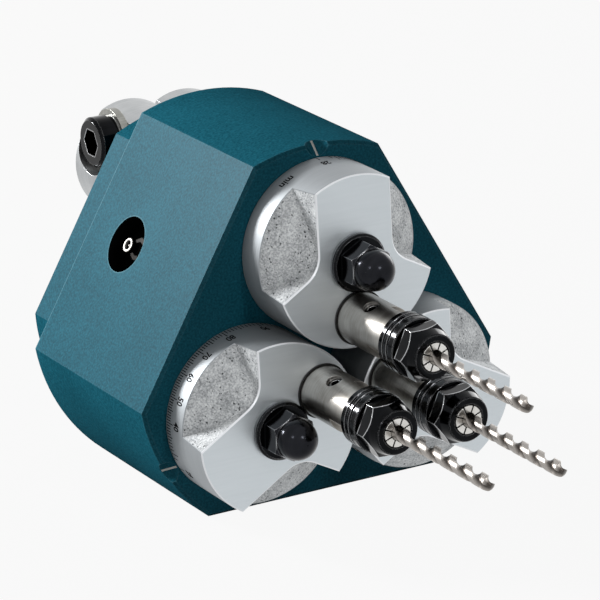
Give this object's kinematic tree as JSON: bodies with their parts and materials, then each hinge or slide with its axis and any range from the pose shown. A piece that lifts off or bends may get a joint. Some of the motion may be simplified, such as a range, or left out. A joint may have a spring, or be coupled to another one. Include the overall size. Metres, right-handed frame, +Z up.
{
  "type": "multi-spindle boring head",
  "caption": "Adjustable multi-spindle boring head: painted housing with flats, eccentric discs that set the pitch circle, geared collet spindles and a rear quill clamp.",
  "frame": {"origin": "middle of the quill clamp's bore, on the drive axis", "axes": "+Z up, rest flat below; the spindles point along -Y and the quill enters along -Y from the rear"},
  "size_m": [0.1232, 0.222, 0.1105],
  "materials": {
    "paint": "satin teal paint",
    "aluminium": "machined, cast pockets",
    "black_steel": "black oxide",
    "ground_steel": "ground",
    "gear_steel": "cut and hardened",
    "bright_steel": "bright ground",
    "plated_steel": "zinc plated",
    "bronze": "turned"
  },
  "bodies": {
    "housing": {"acorn_nut_1": "black_steel", "acorn_nut_2": "black_steel", "acorn_nut_3": "black_steel", "clamp_screw": "black_steel", "clamp_stud_1": "gear_steel", "clamp_stud_2": "gear_steel", "clamp_stud_3": "gear_steel", "clamp_washer_1": "black_steel", "clamp_washer_2": "black_steel", "clamp_washer_3": "black_steel", "collar_screws": "black_steel", "cover_screws": "black_steel", "front_bearing": "ground_steel", "grease_nipple": "plated_steel", "housing_body": "paint", "idler_sleeve_1": "bronze", "idler_sleeve_2": "bronze", "idler_sleeve_3": "bronze", "lug_washer": "plated_steel", "pilot_bush": "bronze", "quill_collar": "aluminium", "rear_bearing": "ground_steel", "rear_cover": "paint", "stud_plate": "aluminium"},
    "drive": {"drive_shaft": "ground_steel", "sun_gear": "gear_steel", "sun_key": "gear_steel"},
    "idler_1": {"idler_gear_1": "gear_steel"},
    "disc_1": {"eccentric_disc_1": "aluminium"},
    "cage_1": {"roller_cage_1": "bronze"},
    "spindle_1": {"spindle_1": "ground_steel", "set_screw_1": "black_steel", "spindle_pinion_1": "gear_steel", "collet_nut_1": "black_steel", "collet_1": "bright_steel", "twist_drill_1": "bright_steel"},
    "idler_2": {"idler_gear_2": "gear_steel"},
    "disc_2": {"eccentric_disc_2": "aluminium"},
    "cage_2": {"roller_cage_2": "bronze"},
    "spindle_2": {"spindle_2": "ground_steel", "set_screw_2": "black_steel", "spindle_pinion_2": "gear_steel", "collet_nut_2": "black_steel", "collet_2": "bright_steel", "twist_drill_2": "bright_steel"},
    "idler_3": {"idler_gear_3": "gear_steel"},
    "disc_3": {"eccentric_disc_3": "aluminium"},
    "cage_3": {"roller_cage_3": "bronze"},
    "spindle_3": {"spindle_3": "ground_steel", "set_screw_3": "black_steel", "spindle_pinion_3": "gear_steel", "collet_nut_3": "black_steel", "collet_3": "bright_steel", "twist_drill_3": "bright_steel"}
  },
  "joints": [
    {"name": "drive_spin", "type": "hinge", "parent": "housing", "child": "drive", "pos_m": [0, 0, 0], "axis": [0, -1, 0], "continuous": true},
    {"name": "idler_spin_1", "type": "hinge", "parent": "housing", "child": "idler_1", "pos_m": [0, 0, 0.0315], "axis": [0, -1, 0], "continuous": true},
    {"name": "disc_swivel_1", "type": "hinge", "parent": "housing", "child": "disc_1", "pos_m": [0, 0, 0.0315], "axis": [0, -1, 0], "range_deg": [-2, 178]},
    {"name": "cage_roll_1", "type": "hinge", "parent": "disc_1", "child": "cage_1", "pos_m": [0.00061, 0, 0.01401], "axis": [0, -1, 0], "range_deg": [-4, 214]},
    {"name": "spindle_spin_1", "type": "hinge", "parent": "cage_1", "child": "spindle_1", "pos_m": [0.00061, 0, 0.01401], "axis": [0, -1, 0], "continuous": true},
    {"name": "idler_spin_2", "type": "hinge", "parent": "housing", "child": "idler_2", "pos_m": [-0.02728, 0, -0.01575], "axis": [0, -1, 0], "continuous": true},
    {"name": "disc_swivel_2", "type": "hinge", "parent": "housing", "child": "disc_2", "pos_m": [-0.02728, 0, -0.01575], "axis": [0, -1, 0], "range_deg": [-2, 178]},
    {"name": "cage_roll_2", "type": "hinge", "parent": "disc_2", "child": "cage_2", "pos_m": [-0.01244, 0, -0.00648], "axis": [0, -1, 0], "range_deg": [-4, 214]},
    {"name": "spindle_spin_2", "type": "hinge", "parent": "cage_2", "child": "spindle_2", "pos_m": [-0.01244, 0, -0.00648], "axis": [0, -1, 0], "continuous": true},
    {"name": "idler_spin_3", "type": "hinge", "parent": "housing", "child": "idler_3", "pos_m": [0.02728, 0, -0.01575], "axis": [0, -1, 0], "continuous": true},
    {"name": "disc_swivel_3", "type": "hinge", "parent": "housing", "child": "disc_3", "pos_m": [0.02728, 0, -0.01575], "axis": [0, -1, 0], "range_deg": [-2, 178]},
    {"name": "cage_roll_3", "type": "hinge", "parent": "disc_3", "child": "cage_3", "pos_m": [0.01183, 0, -0.00753], "axis": [0, -1, 0], "range_deg": [-4, 214]},
    {"name": "spindle_spin_3", "type": "hinge", "parent": "cage_3", "child": "spindle_3", "pos_m": [0.01183, 0, -0.00753], "axis": [0, -1, 0], "continuous": true}
  ],
  "couplings": [
    {"joint": "idler_spin_1", "follows": "drive_spin", "ratio": -1.3333},
    {"joint": "cage_roll_1", "follows": "disc_swivel_1", "ratio": 1.1875},
    {"joint": "spindle_spin_1", "follows": "drive_spin", "ratio": 1.5833},
    {"joint": "idler_spin_2", "follows": "drive_spin", "ratio": -1.3333},
    {"joint": "cage_roll_2", "follows": "disc_swivel_2", "ratio": 1.1875},
    {"joint": "spindle_spin_2", "follows": "drive_spin", "ratio": 1.5833},
    {"joint": "idler_spin_3", "follows": "drive_spin", "ratio": -1.3333},
    {"joint": "cage_roll_3", "follows": "disc_swivel_3", "ratio": 1.1875},
    {"joint": "spindle_spin_3", "follows": "drive_spin", "ratio": 1.5833}
  ]
}
